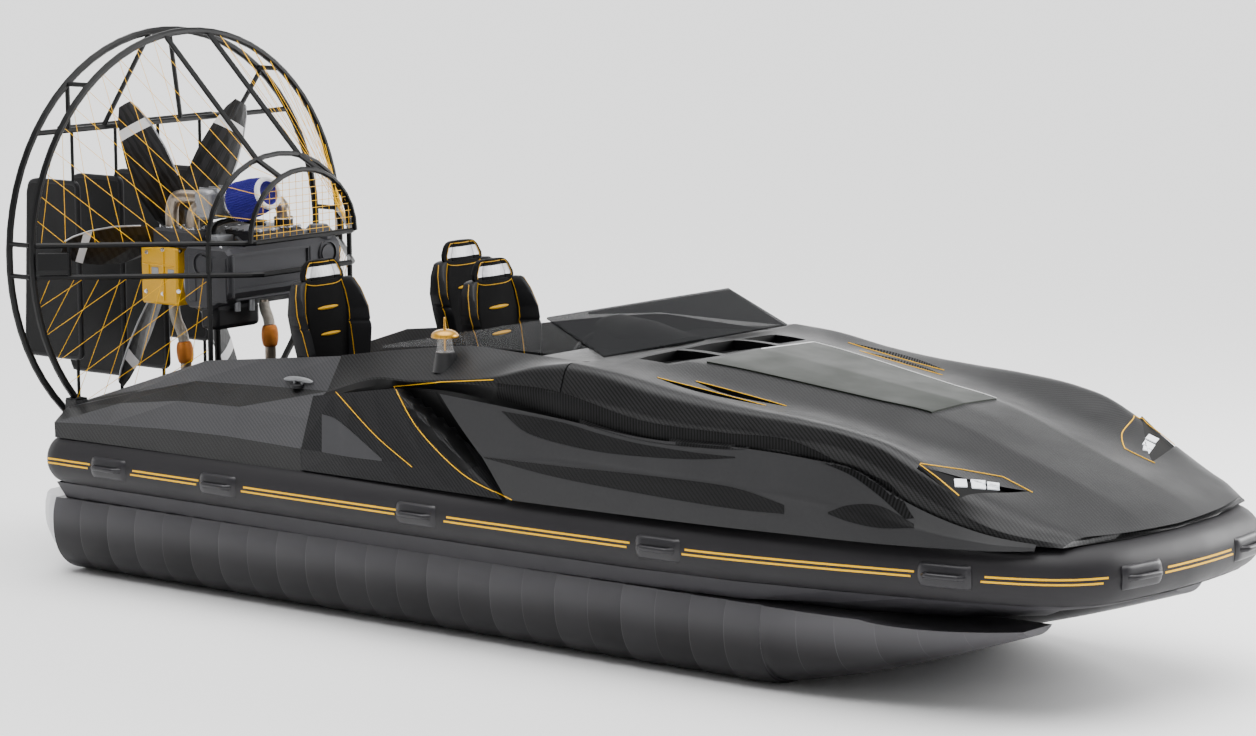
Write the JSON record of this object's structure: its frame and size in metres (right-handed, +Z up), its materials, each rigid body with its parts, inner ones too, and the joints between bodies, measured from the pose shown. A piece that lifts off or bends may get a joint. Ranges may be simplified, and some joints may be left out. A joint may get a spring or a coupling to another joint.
{
  "type": "airboat",
  "caption": "Aft-propelled airboat with a caged air propeller, air rudders, an inflated collar, skid-plated sponsons and a low open cockpit.",
  "frame": {"origin": "centre of the overall length and breadth, at the ground under the sponsons", "axes": "+X to the bow, +Y to port, +Z up"},
  "size_m": [8.2624, 2.6678, 3.2203],
  "materials": {
    "skid_plate": "satin black sliding plates",
    "collar_rubber": "matt dark grey inflated fabric with yellow twin stripes",
    "hull_black": "satin dark grey",
    "pale_cap": "satin pale grey",
    "carbon_grey": "satin lacquered woven fibre, grey",
    "carbon_black": "gloss lacquered woven fibre, black",
    "hood_glass": "satin grey-green panel",
    "smoked_glass": "smoked clear glazing",
    "deck_mat": "matt deck covering",
    "seat_shell": "satin black",
    "seat_leather": "dark grey with yellow piping",
    "cage_paint": "satin black paint",
    "engine_metal": "dark grey cast",
    "gearbox_yellow": "satin yellow",
    "cast_grey": "bare cast",
    "pipe_steel": "warm bare steel",
    "filter_violet": "violet pleated element with a bright ring",
    "blade_carbon": "gloss black with a pale band",
    "rudder_black": "matt black with a grey rim",
    "beacon_gold": "polished",
    "lamp_black": "black lamp unit with pale diodes and a yellow edge",
    "wheel_black": "stitched black"
  },
  "bodies": {
    "hull": {"hull_tray": "hull_black", "collar_tube": "collar_rubber", "sponson_starboard": "skid_plate", "sponson_port": "skid_plate", "tail_cone_starboard": "pale_cap", "tail_cone_port": "pale_cap", "stern_deck_starboard": "carbon_grey", "stern_deck_port": "carbon_grey", "cockpit_side_starboard": "carbon_grey", "cockpit_side_port": "carbon_grey", "side_panel_starboard": "carbon_black", "side_panel_port": "carbon_black", "quarter_panel_starboard": "carbon_black", "quarter_panel_port": "carbon_black", "bow_deck": "carbon_grey", "hood_glass_panel": "hood_glass", "engine_deck": "deck_mat", "cockpit_floor": "deck_mat", "dash_panel": "carbon_black", "windscreen": "smoked_glass", "side_glass_starboard": "smoked_glass", "side_glass_port": "smoked_glass", "steering_column": "cage_paint", "cage_ring_front": "cage_paint", "cage_ring_rear": "cage_paint", "cage_guard_frame": "cage_paint", "stern_platform": "cage_paint", "engine_block": "engine_metal", "bell_housing": "cast_grey", "gearbox": "gearbox_yellow", "intake_pipes": "pipe_steel", "air_filter": "filter_violet", "exhaust_pipe_aft": "pipe_steel", "exhaust_pipe_fore": "pipe_steel", "engine_stand": "cage_paint", "beacon": "beacon_gold", "headlight_starboard": "lamp_black", "headlight_port": "lamp_black", "seat_driver_base": "seat_shell", "seat_driver_cushion": "seat_leather", "seat_driver_back": "seat_leather", "seat_rear_starboard_base": "seat_shell", "seat_rear_starboard_cushion": "seat_leather", "seat_rear_starboard_back": "seat_leather", "seat_rear_port_base": "seat_shell", "seat_rear_port_cushion": "seat_leather", "seat_rear_port_back": "seat_leather"},
    "propeller": {"propeller": "blade_carbon"},
    "steering": {"steering_wheel": "wheel_black"},
    "rudder_starboard_outer": {"rudder_starboard_outer": "rudder_black"},
    "rudder_starboard_inner": {"rudder_starboard_inner": "rudder_black"},
    "rudder_port_inner": {"rudder_port_inner": "rudder_black"},
    "rudder_port_outer": {"rudder_port_outer": "rudder_black"}
  },
  "joints": [
    {"name": "propeller_spin", "type": "hinge", "parent": "hull", "child": "propeller", "pos_m": [-3.306, 0, 1.9], "axis": [1, 0, 0], "continuous": true},
    {"name": "rudder_starboard_outer_turn", "type": "hinge", "parent": "hull", "child": "rudder_starboard_outer", "pos_m": [-3.681, -0.54, 0.86], "axis": [0, 0, 1], "range_deg": [-30, 30]},
    {"name": "rudder_starboard_inner_turn", "type": "hinge", "parent": "hull", "child": "rudder_starboard_inner", "pos_m": [-3.681, -0.18, 0.86], "axis": [0, 0, 1], "range_deg": [-30, 30]},
    {"name": "rudder_port_inner_turn", "type": "hinge", "parent": "hull", "child": "rudder_port_inner", "pos_m": [-3.681, 0.18, 0.86], "axis": [0, 0, 1], "range_deg": [-30, 30]},
    {"name": "rudder_port_outer_turn", "type": "hinge", "parent": "hull", "child": "rudder_port_outer", "pos_m": [-3.681, 0.54, 0.86], "axis": [0, 0, 1], "range_deg": [-30, 30]},
    {"name": "steering_turn", "type": "hinge", "parent": "hull", "child": "steering", "pos_m": [-0.001, 0, 1.44], "axis": [-0.9404, 0, 0.3401], "range_deg": [-91, 91]}
  ],
  "couplings": [
    {"joint": "rudder_starboard_outer_turn", "follows": "rudder_starboard_inner_turn", "ratio": 1},
    {"joint": "rudder_port_inner_turn", "follows": "rudder_starboard_inner_turn", "ratio": 1},
    {"joint": "rudder_port_outer_turn", "follows": "rudder_starboard_inner_turn", "ratio": 1},
    {"joint": "steering_turn", "follows": "rudder_starboard_inner_turn", "ratio": -3}
  ]
}
